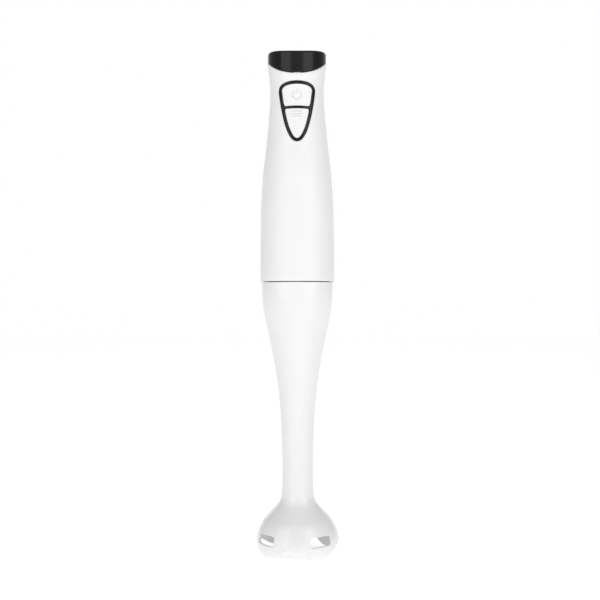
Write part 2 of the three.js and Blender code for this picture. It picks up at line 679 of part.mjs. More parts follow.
function makeDriveShaft() {
  const nutFloor = 9;
  const shaftTop = 196.5;
  add('drive_shaft', join(
    rod(DRIVE_RADIUS, 23, shaftTop, SMALL),
    rod(2, nutFloor + 1.5, 24, SMALL),
  ), STEEL);

  const wings = [90, 270].map((azimuth) => sector(
    2,
    5.6,
    azimuth - DOG_WIDTH / 2,
    azimuth + DOG_WIDTH / 2,
    DOG_BOTTOM - 1,
    DOG_TOP,
  ));
  const sleeve = rod(5.6, 191.5, DOG_BOTTOM, SMALL);
  const core = rod(3.2, DOG_BOTTOM - 1, DOG_TOP, SMALL);
  const shaftBore = rod(DRIVE_RADIUS + CLEARANCE, 190, shaftTop + CLEARANCE, SMALL);
  add('drive_dog', cut(join(sleeve, core, ...wings), shaftBore), BLACK_PLASTIC);
  add('retaining_ring', tube(DRIVE_RADIUS + CLEARANCE, 5.4, 189.6, 190.8, SMALL), STEEL);

  const outline = new THREE.Shape();
  const { reach, halfWidth, bottom, thickness } = BLADE;
  outline.moveTo(-reach, 1);
  outline.quadraticCurveTo(-reach, halfWidth, -reach + 5, halfWidth);
  outline.quadraticCurveTo(0, halfWidth + 1, 9, 3.2);
  outline.lineTo(reach, -1);
  outline.quadraticCurveTo(reach, -halfWidth, reach - 5, -halfWidth);
  outline.quadraticCurveTo(0, -halfWidth - 1, -9, -3.2);
  const plate = extrudeUp(outline, bottom, bottom + thickness);
  add('blade', cut(plate, rod(2.3, 0, 30, SMALL)), STEEL);
  add('blade_hub', tube(2.3, 5.5, bottom + thickness + CLEARANCE, 22.5, MEDIUM), BLACK_PLASTIC);
  add('blade_nut', cut(
    rod(4.2, nutFloor, bottom - CLEARANCE, 6),
    rod(2.3, nutFloor + 1.2, 20, SMALL),
  ), STEEL);
}

makeCasing();
makeCap();
makeButtons();
makeSwitchUnit();
makeMotorFrame();
makeStator();
makeBrushGear();
makeRotor();
makeCollar();
makeLegCoupling();
makeLegTube();
makeBell();
makeDriveShaft();

export default blender;
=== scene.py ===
"""Looks of an immersion blender: mouldings, cap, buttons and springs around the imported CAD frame."""

import json
import math

import bmesh
import bpy
from mathutils import Matrix, Vector


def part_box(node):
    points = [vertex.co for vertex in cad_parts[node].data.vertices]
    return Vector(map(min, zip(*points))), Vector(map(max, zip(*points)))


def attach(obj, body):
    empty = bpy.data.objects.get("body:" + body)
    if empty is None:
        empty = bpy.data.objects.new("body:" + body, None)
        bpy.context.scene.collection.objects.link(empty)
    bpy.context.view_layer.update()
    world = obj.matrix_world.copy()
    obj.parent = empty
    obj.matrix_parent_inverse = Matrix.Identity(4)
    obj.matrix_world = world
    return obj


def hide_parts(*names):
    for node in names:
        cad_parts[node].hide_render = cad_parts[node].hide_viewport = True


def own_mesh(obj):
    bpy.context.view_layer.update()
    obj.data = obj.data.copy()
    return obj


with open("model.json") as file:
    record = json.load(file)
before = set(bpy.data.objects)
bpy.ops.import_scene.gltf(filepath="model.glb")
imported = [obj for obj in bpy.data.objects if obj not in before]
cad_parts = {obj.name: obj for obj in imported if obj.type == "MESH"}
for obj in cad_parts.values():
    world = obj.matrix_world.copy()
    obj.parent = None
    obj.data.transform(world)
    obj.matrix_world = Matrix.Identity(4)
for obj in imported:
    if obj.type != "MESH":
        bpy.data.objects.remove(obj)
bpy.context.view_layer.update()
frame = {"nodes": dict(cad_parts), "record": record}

# ------------------------------------------------------------------ camera

CAMERA_PLACE = (0.0020, -0.692, 0.1932)
CAMERA_ROLL = 0.1                 # degrees
FOCAL_LENGTH = 54
SENSOR_WIDTH = 36


def make_camera():
    lens = bpy.data.cameras.new("camera")
    lens.lens = FOCAL_LENGTH
    lens.sensor_width = SENSOR_WIDTH
    camera = bpy.data.objects.new("camera", lens)
    camera.location = CAMERA_PLACE
    camera.rotation_euler = (math.radians(90), math.radians(CAMERA_ROLL), 0)
    bpy.context.scene.collection.objects.link(camera)
    bpy.context.scene.camera = camera


make_camera()

# ------------------------------------------------------------------ the design, in millimetres

MM = 0.001
WALL = 2.2
TOP = 383                         # of the cap's sides

CASE_OUTLINE = [                  # (height, radius) of the motor unit
    (207, 28.4), (236, 28.2), (262, 27.8), (288, 26.3), (308, 24.0),
    (328, 22.0), (350, 20.6), (364, 21.4), (377, 23.2),
]
LEG_OUTLINE = [                   # (height, radius) of the leg above the neck
    (46, 12.2), (64, 11.7), (82, 12.2), (101, 12.8), (119, 14.2), (138, 16.5),
    (156, 19.9), (169, 22.5), (181, 25.2), (193, 27.0), (207, 27.7),
]
BELL_OUTLINE = [                  # (height, radius) of the bell guard, outside
    (0, 28.8), (5, 30.7), (9.8, 31.5), (14, 30.9), (18.5, 29.3), (25, 25.8),
    (29.6, 21.8), (34, 17.6), (37.5, 14.7), (41, 13.0), (46, 12.2),
]
BELL_LINING = [                   # (height, radius) of the bell guard, inside
    (0, 26.6), (5, 28.5), (9.8, 29.3), (14, 28.7), (18.5, 27.0), (25, 23.0),
    (29.6, 18.6), (32.6, 14.5),
]
NECK = 46                         # height where the bell guard's outline becomes the leg's
HUB = {                           # radii and heights of the seats of the lower bush and the seal
    "bore": 3.9, "bush": 5.8, "bush_top": 42.3, "seal": 6.3, "seal_top": 29.3, "bottom": 24, "outside": 9.5,
}

FEET = 4
NOTCH_AZIMUTH = -9
NOTCH_HEIGHT = 8.2
FOOT_SINK = 0.5                   # the wavy rim would dip this far below the feet's flat lands
SCALLOP_TOP = 20                  # above this height the rows of the bell are level
WINDOW = {"azimuth": 36, "width": 19, "height": 7, "middle": 13.7, "corner": 2.6}

CAP_RADIUS = 22.4
CAP_SEAM_FRONT = 362.8            # the seam's lowest point
CAP_SEAM_RISE = 7.8               # rise of its arch towards the sides
CAP_SEAM_FLICK = 3.2              # and how much more it turns up at its ends
CAP_TOP_FRONT = 379.3

LOOP = {"bottom": 312.3, "shoulder": 349, "top": 355.8, "half_width": 12.4, "stroke": 2.3}
CROSSBAR = {"middle": 336.9, "height": 1.8, "rise": 0.25}
GAP = 0.12                        # fine joint round the button frame and the buttons
FRAME_PROUD = 0.4
BUTTON_PROUD = 0.3


def low(node):
    """Lowest corner of a CAD node, in millimetres."""
    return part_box(node)[0] / MM


def high(node):
    """Highest corner of a CAD node, in millimetres."""
    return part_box(node)[1] / MM


CASE_BOTTOM = low("front_shell").z
LEG_TOP = high("leg_tube").z


def radius_at(stations, height):
    """A smooth curve through (height, radius) stations, read at one height."""
    last = len(stations) - 1

    def slope(i):
        low_height, low_radius = stations[max(i - 1, 0)]
        high_height, high_radius = stations[min(i + 1, last)]
        return (high_radius - low_radius) / (high_height - low_height)

    i = 1
    while i < last and stations[i][0] < height:
        i += 1
    start_height, start_radius = stations[i - 1]
    end_height, end_radius = stations[i]
    span = end_height - start_height
    t = (height - start_height) / span
    return (
        start_radius * (2 * t**3 - 3 * t**2 + 1)
        + slope(i - 1) * span * (t**3 - 2 * t**2 + t)
        + end_radius * (3 * t**2 - 2 * t**3)
        + slope(i) * span * (t**3 - t**2)
    )


def case_radius(height):
    return radius_at(CASE_OUTLINE, height)


def case_lining(height):
    return case_radius(height) - WALL


def steps(start, end, count):
    """Evenly spaced values from start to end, both included."""
    return [start + (end - start) * i / count for i in range(count + 1)]


def polar(radius, azimuth, height):
    """A point at a radius and an azimuth in degrees from the front (-Y) towards +X."""
    angle = math.radians(azimuth)
    return (radius * math.sin(angle), -radius * math.cos(angle), height)


def lip(outside, inside, edge, fillet, upwards=True):
    """(radius, height) points over the rounded edge of a wall, from its outside to its inside."""
    up = 1 if upwards else -1
    turns = [math.radians(angle) for angle in steps(0, 90, 3)]
    out = [(outside - fillet * (1 - math.cos(t)), edge - up * fillet * (1 - math.sin(t))) for t in turns]
    back = [(inside + fillet * (1 - math.cos(t)), edge - up * fillet * (1 - math.sin(t))) for t in turns]
    return out + back[::-1]


def filleted(corners):
    """Rounds the corners of a closed outline of (x, y, fillet) and returns its (x, y) points."""
    points = []
    for i, (x, y, fillet) in enumerate(corners):
        corner = Vector((x, y))
        before = Vector(corners[i - 1][:2]) - corner
        after = Vector(corners[(i + 1) % len(corners)][:2]) - corner
        reach = min(fillet, before.length / 2.3, after.length / 2.3)
        if reach < 0.01:
            points.append((x, y))
            continue
        start = corner + before.normalized() * reach
        end = corner + after.normalized() * reach
        for t in steps(0, 1, 3):
            points.append(tuple(start.lerp(corner, t).lerp(corner.lerp(end, t), t)))
    return points


# ------------------------------------------------------------------ mesh building

class Build:
    """The vertices and faces of one mesh, gathered in rows, in millimetres."""

    def __init__(self):
        self.points = []
        self.faces = []
        self.left_out = set()

    def row(self, positions):
        first = len(self.points)
        self.points.extend(tuple(position) for position in positions)
        return list(range(first, len(self.points)))

    def ring(self, azimuths, place):
        """A row over the azimuths, where place gives the radius and height at an azimuth."""
        row = []
        for azimuth in azimuths:
            radius, height = place(azimuth)
            row.append(polar(radius, azimuth, height))
        return self.row(row)

    def bridge(self, below, above, closed=True):
        count = len(below)
        for j in range(count if closed else count - 1):
            if frozenset((below[j], above[j])) not in self.left_out:
                k = (j + 1) % count
                self.faces.append((below[j], below[k], above[k], above[j]))

    def skin(self, rows, closed_rows=True, closed_columns=True):
        pairs = zip(rows, rows[1:] + rows[:1]) if closed_rows else zip(rows, rows[1:])
        for below, above in pairs:
            self.bridge(below, above, closed_columns)

    def end(self, loop):
        self.faces.append(tuple(loop))

    def mesh(self, name, sharp=None):
        mesh = bpy.data.meshes.new(name)
        mesh.from_pydata([Vector(point) * MM for point in self.points], [], self.faces)
        work = bmesh.new()
        work.from_mesh(mesh)
        bmesh.ops.remove_doubles(work, verts=work.verts, dist=0.002 * MM)
        bmesh.ops.recalc_face_normals(work, faces=work.faces)
        work.to_mesh(mesh)
        work.free()
        mesh.shade_smooth()
        if sharp:
            mesh.set_sharp_from_angle(angle=math.radians(sharp))
        return mesh


class Hole:
    """A hole with rounded edges, cut straight through an outer and an inner wall at one azimuth."""

    def __init__(self, azimuth, centre, outline, edge):
        self.azimuth = math.radians(azimuth)
        self.centre = centre              # height of the hole's middle
        self.outline = outline            # offset -> [(across, height)] round the hole
        self.edge = edge                  # radius of the rounded edges

    def flat(self, point):
        """A point of a wall as (across, height)."""
        x, y, height = point
        return (x * math.cos(self.azimuth) + y * math.sin(self.azimuth), height)

    def on_wall(self, radius, across, height):
        outwards = math.sqrt(radius**2 - across**2)
        sine, cosine = math.sin(self.azimuth), math.cos(self.azimuth)
        return (outwards * sine + across * cosine, -outwards * cosine + across * sine, height)

    def fill(self, build, rows, columns, radius_of, inner):
        """Leaves a block of cells out of one wall and fills it in as far as the edge of the hole."""
        left, right = columns
        for low_row, high_row in zip(rows, rows[1:]):
            for j in range(left, right):
                build.left_out.add(frozenset((low_row[j], high_row[j])))
        last = [rows[0][j] for j in range(left, right)]
        last += [row[right] for row in rows[:-1]]
        last += [rows[-1][j] for j in range(right, left, -1)]
        last += [row[left] for row in rows[:0:-1]]
        starts = [self.flat(build.points[i]) for i in last]
        rays = [(across, height - self.centre) for across, height in starts]
        aims = ray_hits(self.outline(self.edge), self.centre, rays)
        for share in (0.25, 0.5, 0.75, 0.92):
            spots = [mix(start, aim, share) for start, aim in zip(starts, aims)]
            row = build.row(self.on_wall(radius_of(z), x, z) for x, z in spots)
            build.bridge(last, row)
            last = row
        into = -1 if inner else 1
        for turn in steps(0, math.pi / 2, 4):
            offset = self.edge * (1 - math.sin(turn))
            depth = self.edge * (1 - math.cos(turn)) * into
            spots = ray_hits(self.outline(offset), self.centre, rays)
            row = build.row(self.on_wall(radius_of(z) - depth, x, z) for x, z in spots)
            build.bridge(last, row)
            last = row
        return last


def mix(start, end, share):
    return tuple(a + (b - a) * share for a, b in zip(start, end))


def ray_hits(outline, centre, rays):
    """Where rays from (0, centre) meet a closed outline of (x, z) points."""
    edges = list(zip(outline, outline[1:] + outline[:1]))
    hits = []
    for dx, dz in rays:
        for (x0, z0), (x1, z1) in edges:
            run, rise = x1 - x0, z1 - z0
            cross = dx * rise - dz * run
            if abs(cross) < 1e-12:
                continue
            along = (x0 * rise - (z0 - centre) * run) / cross
            share = (x0 * dz - (z0 - centre) * dx) / cross
            if along > 0 and -1e-9 <= share <= 1 + 1e-9:
                hits.append((dx * along, centre + dz * along))
                break
    return hits


def turned(name, corners, sides=64, axis="Z", sharp=35):
    """A mesh turned about the axis from a closed outline of (radius, height, fillet)."""
    build = Build()
    azimuths = [360 * j / sides for j in range(sides)]
    rows = [build.ring(azimuths, lambda _, spot=spot: spot) for spot in filleted(corners)]
    build.skin(rows)
    mesh = build.mesh(name, sharp)
    if axis == "Y":
        mesh.transform(Matrix.Rotation(math.radians(-90), 4, "X"))
    return mesh


def add_piece(name, mesh, body, slot, *replaces):
    """Puts a mesh in the scene, riding on a body, with a slot's finish or that of the marks."""
    piece = bpy.data.objects.new(name, mesh)
    bpy.context.scene.collection.objects.link(piece)
    mesh.materials.clear()
    mesh.materials.append(MATERIALS[slot])
    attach(piece, body)
    if replaces:
        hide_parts(*replaces)
    return piece


# ------------------------------------------------------------------ materials

PRINT = "grey_print"              # a finish that no CAD node has, for the marks on the buttons


class Shader:
    """A material whose nodes are added one by one."""

    def __init__(self, name, metallic=0.0):
        self.material = bpy.data.materials.new(name)
        self.material.use_nodes = True
        self.nodes = self.material.node_tree.nodes
        self.surface = self.nodes["Principled BSDF"]
        self.surface.inputs["Metallic"].default_value = metallic
        self.place = self.add("ShaderNodeTexCoord").outputs["Object"]

    def add(self, kind, settings=None, **inputs):
        node = self.nodes.new(kind)
        for name, value in (settings or {}).items():
            setattr(node, name, value)
        for name, value in inputs.items():
            self.put(node.inputs[name.replace("_", " ")], value)
        return node

    def put(self, socket, value):
        if isinstance(value, bpy.types.NodeSocket):
            self.material.node_tree.links.new(value, socket)
        else:
            socket.default_value = value

    def noise(self, size, detail=3.0, stretch=None):
        """Noise whose features are about a size in millimetres."""
        place = self.place
        if stretch:
            place = self.add("ShaderNodeMapping", Vector=place, Scale=stretch).outputs["Vector"]
        texture = self.add("ShaderNodeTexNoise", Vector=place, Scale=1 / (size * MM), Detail=detail)
        return texture.outputs["Fac"]

    def spread(self, value, start, end, low_value, high_value):
        """A value remapped from one range to another, clamped."""
        remap = self.add(
            "ShaderNodeMapRange", Value=value,
            From_Min=start, From_Max=end, To_Min=low_value, To_Max=high_value,
        )
        return remap.outputs["Result"]

    def tint(self, value, first, second):
        """A colour that runs from first to second as a value runs from 0 to 1."""
        ramp = self.add("ShaderNodeValToRGB", Fac=value)
        ramp.color_ramp.elements[0].color = (*first, 1)
        ramp.color_ramp.elements[1].color = (*second, 1)
        return ramp.outputs["Color"]

    def edges(self):
        """0 on flat and hollow places and 1 on outer edges: the mask of a painted highlight."""
        sharpness = self.add("ShaderNodeNewGeometry").outputs["Pointiness"]
        return self.spread(sharpness, 0.52, 0.6, 0, 1)

    def bump(self, height, depth, below=None):
        """Relief of a depth in millimetres."""
        inputs = {"Height": height, "Distance": depth * MM, "Strength": 1.0}
        if below is not None:
            inputs["Normal"] = below
        return self.add("ShaderNodeBump", **inputs).outputs["Normal"]

    def finish(self, colour, roughness, normal):
        self.put(self.surface.inputs["Base Color"], colour)
        self.put(self.surface.inputs["Roughness"], roughness)
        self.put(self.surface.inputs["Normal"], normal)
        return self.material


def shade(colour, factor):
    return tuple(min(1.0, part * factor) for part in colour)


def moulded(name, colour, roughness, grain, relief, edge_highlight=1.04):
    """Moulded plastic: fine spark-eroded grain, cloudy gloss and a painted highlight on its outer edges."""
    shader = Shader(name)
    cloud = shader.noise(22, 4)
    smear = shader.noise(5, 5)
    grains = shader.noise(grain, 2)
    body = shader.tint(shader.spread(cloud, 0.3, 0.7, 0, 1), shade(colour, 0.985), colour)
    # Outer edges take a lighter colour: a painted highlight along them.
    mixer = shader.add("ShaderNodeMix", {"data_type": "RGBA"})
    shader.put(mixer.inputs[0], shader.edges())                     # the colour version's factor
    shader.put(mixer.inputs[6], body)                               # its A
    shader.put(mixer.inputs[7], (*shade(colour, edge_highlight), 1))          # and its B
    gloss = shader.spread(smear, 0.3, 0.7, roughness * 0.88, roughness * 1.12)
    waves = shader.bump(shader.noise(9, 2), relief * 1.5)
    return shader.finish(mixer.outputs[2], gloss, shader.bump(grains, relief, waves))


def polished(name, colour, roughness):
    """Glossy black moulding with faint hairline scratches and finger haze."""
    shader = Shader(name)
    shader.surface.inputs["Specular IOR Level"].default_value = 0.28
    haze = shader.spread(shader.noise(12, 5), 0.35, 0.7, 0, 1)
    hairlines = shader.noise(0.5, 6, stretch=(1, 1, 0.04))
    scratched = shader.spread(hairlines, 0.66, 0.74, 0, 1)
    body = shader.tint(haze, colour, shade(colour, 1.25))
    gloss = shader.spread(haze, 0, 1, roughness, roughness * 1.5)
    waves = shader.bump(shader.noise(14, 1), 0.012)
    return shader.finish(body, gloss, shader.bump(scratched, 0.0015, waves))


def rubber(name, colour):
    """Matt silicone rubber with a talc bloom."""
    shader = Shader(name)
    bloom = shader.spread(shader.noise(3, 6), 0.45, 0.75, 0, 1)
    body = shader.tint(bloom, colour, shade(colour, 1.5))
    gloss = shader.spread(bloom, 0, 1, 0.65, 0.9)
    return shader.finish(body, gloss, shader.bump(shader.noise(0.25, 3), 0.02))


def metal(name, colour, roughness, grain=(1, 1, 12), grind=0.3, tarnish=0.8):
    """Metal with a ground or rolled grain and cloudy tarnish."""
    shader = Shader(name, metallic=1.0)
    lines = shader.noise(grind, 6, stretch=grain)
    stain = shader.spread(shader.noise(6, 5), 0.4, 0.75, 0, 1)
    body = shader.tint(stain, colour, shade(colour, tarnish))
    gloss = shader.spread(lines, 0.3, 0.7, roughness * 0.7, roughness * 1.4)
    return shader.finish(body, gloss, shader.bump(lines, 0.006))


def wound(name, colour):
    """Enamelled winding wire, laid in close turns, with painted shade in the grooves between them."""
    shader = Shader(name, metallic=1.0)
    settings = {"bands_direction": "Z"}
    wire = shader.add("ShaderNodeTexWave", settings, Vector=shader.place, Scale=2100.0, Distortion=1.5)
    height = wire.outputs["Fac"]
    # Darker where the wire's relief is low: painted shade between the turns.
    body = shader.tint(height, shade(colour, 0.45), colour)
    gloss = shader.spread(shader.noise(4, 4), 0.3, 0.7, 0.25, 0.45)
    return shader.finish(body, gloss, shader.bump(height, 0.08))


def stacked(name, colour):
    """Electrical steel sheets, stacked along the motor's axis."""
    shader = Shader(name, metallic=1.0)
    sheet = shader.add("ShaderNodeTexWave", {"bands_direction": "Z"}, Vector=shader.place, Scale=630.0)
    height = sheet.outputs["Fac"]
    rust = shader.spread(shader.noise(2, 6), 0.6, 0.8, 0, 1)
    body = shader.tint(rust, colour, (0.16, 0.1, 0.07))
    gloss = shader.spread(height, 0, 1, 0.6, 0.38)
    return shader.finish(body, gloss, shader.bump(height, 0.1))


def paper_board(name, colour):
    """Phenolic paper board with a faint weave."""
    shader = Shader(name)
    fibre = shader.noise(0.6, 4, stretch=(1, 1, 6))
    body = shader.tint(fibre, shade(colour, 0.75), colour)
    gloss = shader.spread(fibre, 0.3, 0.7, 0.4, 0.6)
    return shader.finish(body, gloss, shader.bump(fibre, 0.02))


def make_materials():
    return {
        "white_satin": moulded("white_satin", (0.80, 0.80, 0.795), 0.42, 0.25, 0.006),
        "white_gloss": moulded("white_gloss", (0.79, 0.79, 0.785), 0.2, 0.8, 0.003),
        "black_gloss": polished("black_gloss", (0.004, 0.004, 0.0045), 0.16),
        # Here and for carbon, the last factor lightens the outer edges: a painted highlight.
        "black_plastic": moulded("black_plastic", (0.022, 0.022, 0.024), 0.5, 0.3, 0.012, edge_highlight=1.8),
        "grey_rubber": rubber("grey_rubber", (0.11, 0.11, 0.12)),
        "steel": metal("steel", (0.62, 0.62, 0.63), 0.26),
        "lamination": stacked("lamination", (0.3, 0.31, 0.33)),
        "copper": wound("copper", (0.72, 0.30, 0.12)),
        "brass": metal("brass", (0.78, 0.56, 0.24), 0.3, tarnish=0.6),
        "bronze": metal("bronze", (0.55, 0.33, 0.14), 0.45, grain=(1, 1, 1), tarnish=0.6),
        "carbon": moulded("carbon", (0.03, 0.03, 0.033), 0.45, 0.15, 0.02, edge_highlight=2.5),
        "board": paper_board("board", (0.50, 0.36, 0.14)),
        PRINT: moulded(PRINT, (0.66, 0.66, 0.66), 0.4, 0.25, 0.004),
    }


MATERIALS = make_materials()


def finish_cad_nodes():
    """Gives every CAD node the procedural finish of its slot."""
    for part in frame["record"]["subparts"]:
        mesh = frame["nodes"][part["node"]].data
        mesh.materials.clear()
        mesh.materials.append(MATERIALS[part["material_slot"]])


# ------------------------------------------------------------------ leg and bell guard

def rim_height(azimuth):
    """Height of the bell's wavy rim, flat at the four feet."""
    wave = math.cos(math.radians(FEET * (azimuth - NOTCH_AZIMUTH)))
    return max(0.0, -FOOT_SINK + (NOTCH_HEIGHT + FOOT_SINK) * (1 + wave) / 2)


def scalloped(level):
    """The height at each azimuth of a row that follows the rim low down and is level higher up."""
    return lambda azimuth: level + rim_height(azimuth) * max(0.0, 1 - level / SCALLOP_TOP)


def window_outline(offset):
    """A level slot with round corners, moved outwards by an offset."""
    half_width = WINDOW["width"] / 2 + offset
    half_height = WINDOW["height"] / 2 + offset
    corner = WINDOW["corner"] + offset
    points = []
    for quarter, (right, up) in enumerate([(1, 1), (-1, 1), (-1, -1), (1, -1)]):
        for angle in steps(90 * quarter, 90 * quarter + 90, 10):
            turn = math.radians(angle)
            x = right * (half_width - corner) + corner * math.cos(turn)
            z = WINDOW["middle"] + up * (half_height - corner) + corner * math.sin(turn)
            points.append((x, z))
    return points


def make_leg():
    """Leg and bell guard as the one moulding that they really are."""
    columns = 144
    azimuths = [NOTCH_AZIMUTH + 360 * j / columns for j in range(columns)]
    build = Build()
    edge = 0.9

    def outside(height):
        return radius_at(BELL_OUTLINE if height < NECK else LEG_OUTLINE, height)

    def lining(height):
        return radius_at(BELL_LINING, height)

    def wavy(radius_of, level):
        height = scalloped(level)
        return build.ring(azimuths, lambda azimuth: (radius_of(height(azimuth)), height(azimuth)))

    def level_ring(radius, height):
        return build.ring(azimuths, lambda _: (radius, height))

    windows_from, windows_to = 7.6, 19.6      # the windows are cut out of the rows between these levels
    lining_top = BELL_LINING[-1][0]
    below_windows = [1.2, 2.4, 4, 5.8, windows_from]
    beside_windows = steps(windows_from, windows_to, 8)[1:]
    above_windows = steps(windows_to, NECK, 26)[1:]
    outer = [wavy(outside, level) for level in below_windows + beside_windows + above_windows]
    brim = LEG_TOP - 0.6
    outer += [level_ring(outside(z), z) for z in steps(NECK, brim, 60)[1:]]
    mouth = [level_ring(r, z) for r, z in lip(outside(brim), outside(brim) - WALL, LEG_TOP, 0.5)]
    floor = NECK + 3.3
    bore = [level_ring(outside(z) - WALL, z) for z in steps(brim - 1, floor + 1, 40)]
    bore += [level_ring(outside(floor) - WALL - 0.5, floor)]
    bore += [level_ring(r, z) for r, z in filleted([
        (HUB["bore"], floor, 0.4), (HUB["bore"], HUB["bush_top"], 0), (HUB["bush"], HUB["bush_top"], 0),
        (HUB["bush"], HUB["seal_top"], 0), (HUB["seal"], HUB["seal_top"], 0),
        (HUB["seal"], HUB["bottom"], 0.4), (HUB["outside"], HUB["bottom"], 0.8),
        (HUB["outside"] + 0.2, lining_top, 0), (10.5, 33.6, 0), (12.5, 33.4, 0),
    ])]
    inner_levels = below_windows + beside_windows + steps(windows_to, lining_top, 12)[1:]
    inner = [wavy(lining, level) for level in inner_levels]

    def rim(share):
        turn = math.pi * share

        def place(azimuth):
            foot = rim_height(azimuth)
            height = foot + edge * (1 - math.sin(turn)) * 0.9
            middle = (outside(height) + lining(height)) / 2
            half = (outside(height) - lining(height)) / 2
            return middle + half * math.copysign(abs(math.cos(turn)) ** 0.5, math.cos(turn)), height

        return build.ring(azimuths, place)

    underside = [rim(share) for share in steps(1, 0, 10)]
    first, last = len(below_windows) - 1, len(below_windows) + len(beside_windows)
    quarter = columns // FEET
    for i in range(FEET):
        centre = quarter * i + quarter // 2
        block = (centre - quarter // 4, centre + quarter // 4)
        hole = Hole(WINDOW["azimuth"] + 90 * i, WINDOW["middle"], window_outline, 0.8)
        through = hole.fill(build, outer[first:last], block, outside, inner=False)
        within = hole.fill(build, inner[first:last], block, lining, inner=True)
        build.bridge(through, within)
    build.skin(outer + mouth + bore + inner[::-1] + underside)
    add_piece("leg_moulding", build.mesh("leg_moulding", 50), "leg", "white_gloss", "leg_tube", "bell_guard")


# ------------------------------------------------------------------ button frame and buttons

def bezier(points, t):
    """A point of a cubic curve and its unit tangent."""
    a, b, c, d = (Vector(point) for point in points)
    place = a * (1 - t) ** 3 + b * 3 * t * (1 - t) ** 2 + c * 3 * t**2 * (1 - t) + d * t**3
    along = (b - a) * (1 - t) ** 2 + (c - b) * 2 * t * (1 - t) + (d - c) * t**2
    return place, along.normalized()


def loop_outline(offset):
    """The closed line of the button frame as (x, z), moved outwards from its centre line."""
    shoulder = (LOOP["half_width"], LOOP["shoulder"])
    lower = [(0, LOOP["bottom"]), (6.2, LOOP["bottom"]), (10.2, 331), shoulder]
    upper = [shoulder, (12.9, 353.2), (10, LOOP["top"]), (0, LOOP["top"])]
    right = []
    for curve in (lower, upper):
        for t in steps(0, 1, 24)[:-1]:
            place, along = bezier(curve, t)
            right.append((place.x + along.y * offset, place.y - along.x * offset))
    left = [(-x, z) for x, z in reversed(right[1:])]
    return [*right, (0, LOOP["top"] + offset), *left]


def loop_half_width(height, offset):
    """Half the width of the loop at a height."""
    side = [(x, z) for x, z in loop_outline(offset) if x >= 0]
    spans = zip(side, side[1:])
    return next(
        x0 + (x1 - x0) * (height - z0) / (z1 - z0)
        for (x0, z0), (x1, z1) in spans if z0 <= height <= z1
    )


def on_case(x, z, proud):
    """A point on the front of the casing, a distance proud of it."""
    return (x, -math.sqrt((case_radius(z) + proud) ** 2 - x**2), z)


def bar_middle(x):
    """Height of the middle of the slightly arched crossbar."""
    return CROSSBAR["middle"] + CROSSBAR["rise"] * (1 - (x / LOOP["half_width"]) ** 2)


def make_button_frame():
    half = LOOP["stroke"] / 2
    depth = 3.2
    section = filleted([
        (-half, -depth, 0.2), (-half, FRAME_PROUD, 0.4), (half, FRAME_PROUD, 0.4), (half, -depth, 0.2),
    ])
    build = Build()
    rows = [build.row(on_case(x, z, proud) for x, z in loop_outline(offset)) for offset, proud in section]
    build.skin(rows)
    add_piece("button_frame_ring", build.mesh("ring", 50), "motor_unit", "black_gloss", "button_frame")

    reach = loop_half_width(CROSSBAR["middle"], -half) + 0.3
    half = CROSSBAR["height"] / 2
    section = filleted([
        (-half, -depth, 0.2), (-half, FRAME_PROUD, 0.35), (half, FRAME_PROUD, 0.35), (half, -depth, 0.2),
    ])
    build = Build()
    across = steps(-reach, reach, 24)
    rows = [build.row(on_case(x, bar_middle(x) + rise, proud) for x in across) for rise, proud in section]
    build.skin(rows, closed_columns=False)
    build.end([row[0] for row in rows])
    build.end([row[-1] for row in rows])
    add_piece("button_frame_bar", build.mesh("bar", 50), "motor_unit", "black_gloss", "button_frame")


def button_outline(side, centre):
    """The inside of the loop on one side of the crossbar: side is 1 above it and -1 below it."""
    inset = -LOOP["stroke"] / 2 - GAP
    limit = CROSSBAR["height"] / 2 + GAP
    corner = 0.5

    def outline(offset):
        loop = loop_outline(inset + offset)
        points = [(x, z) for x, z in loop if side * (z - bar_middle(x)) > limit + corner - offset]
        reach = loop_half_width(CROSSBAR["middle"] + side * limit, inset + offset) - corner
        points += [(x, bar_middle(x) + side * (limit - offset)) for x in steps(-reach, reach, 16)]
        return sorted(points, key=lambda point: math.atan2(point[1] - centre, point[0]))

    return outline


def make_button(name, side, centre):
    """A button cap with rounded edges, closed at the back, and the stem behind it."""
    outline = button_outline(side, centre)
    rays = [(math.cos(turn), math.sin(turn)) for turn in steps(0, 2 * math.pi, 120)[:-1]]
    edge = 0.35
    build = Build()
    rim = ray_hits(outline(-edge), centre, rays)
    rows = []
    for share in (0.0, 0.2, 0.4, 0.6, 0.8, 0.94):
        spots = [mix((0, centre), spot, share) for spot in rim]
        rows.append(build.row(on_case(x, z, BUTTON_PROUD) for x, z in spots))
    for turn in steps(0, math.pi / 2, 4):
        spots = ray_hits(outline(-edge * (1 - math.sin(turn))), centre, rays)
        proud = BUTTON_PROUD - edge * (1 - math.cos(turn))
        rows.append(build.row(on_case(x, z, proud) for x, z in spots))
    border = ray_hits(outline(0), centre, rays)
    for share, proud in ((1, -1.2), (1, -2.2), (0.9, -2.3), (0.5, -2.3), (0, -2.3)):
        spots = [mix((0, centre), spot, share) for spot in border]
        rows.append(build.row(on_case(x, z, proud) for x, z in spots))
    build.skin(rows, closed_rows=False)
    add_piece(f"{name}_cap", build.mesh(name, 50), name, "white_satin", name)

    node_back = high(name).y
    front = -case_radius(centre) + 2.6
    radius = 2.2
    shoulder, shoulder_back = 4, front + 1.6
    stem = turned("stem", [
        (0, front, 0), (shoulder, front, 0.3), (shoulder, shoulder_back, 0.3),
        (radius, shoulder_back, 0.2), (radius, node_back, 0.4), (0, node_back, 0),
    ], 24, axis="Y")
    height = high(f"{name}_spring").z / 2 + low(f"{name}_spring").z / 2
    stem.transform(Matrix.Translation((0, 0, height * MM)))
    add_piece(f"{name}_stem", stem, name, "white_satin", name)


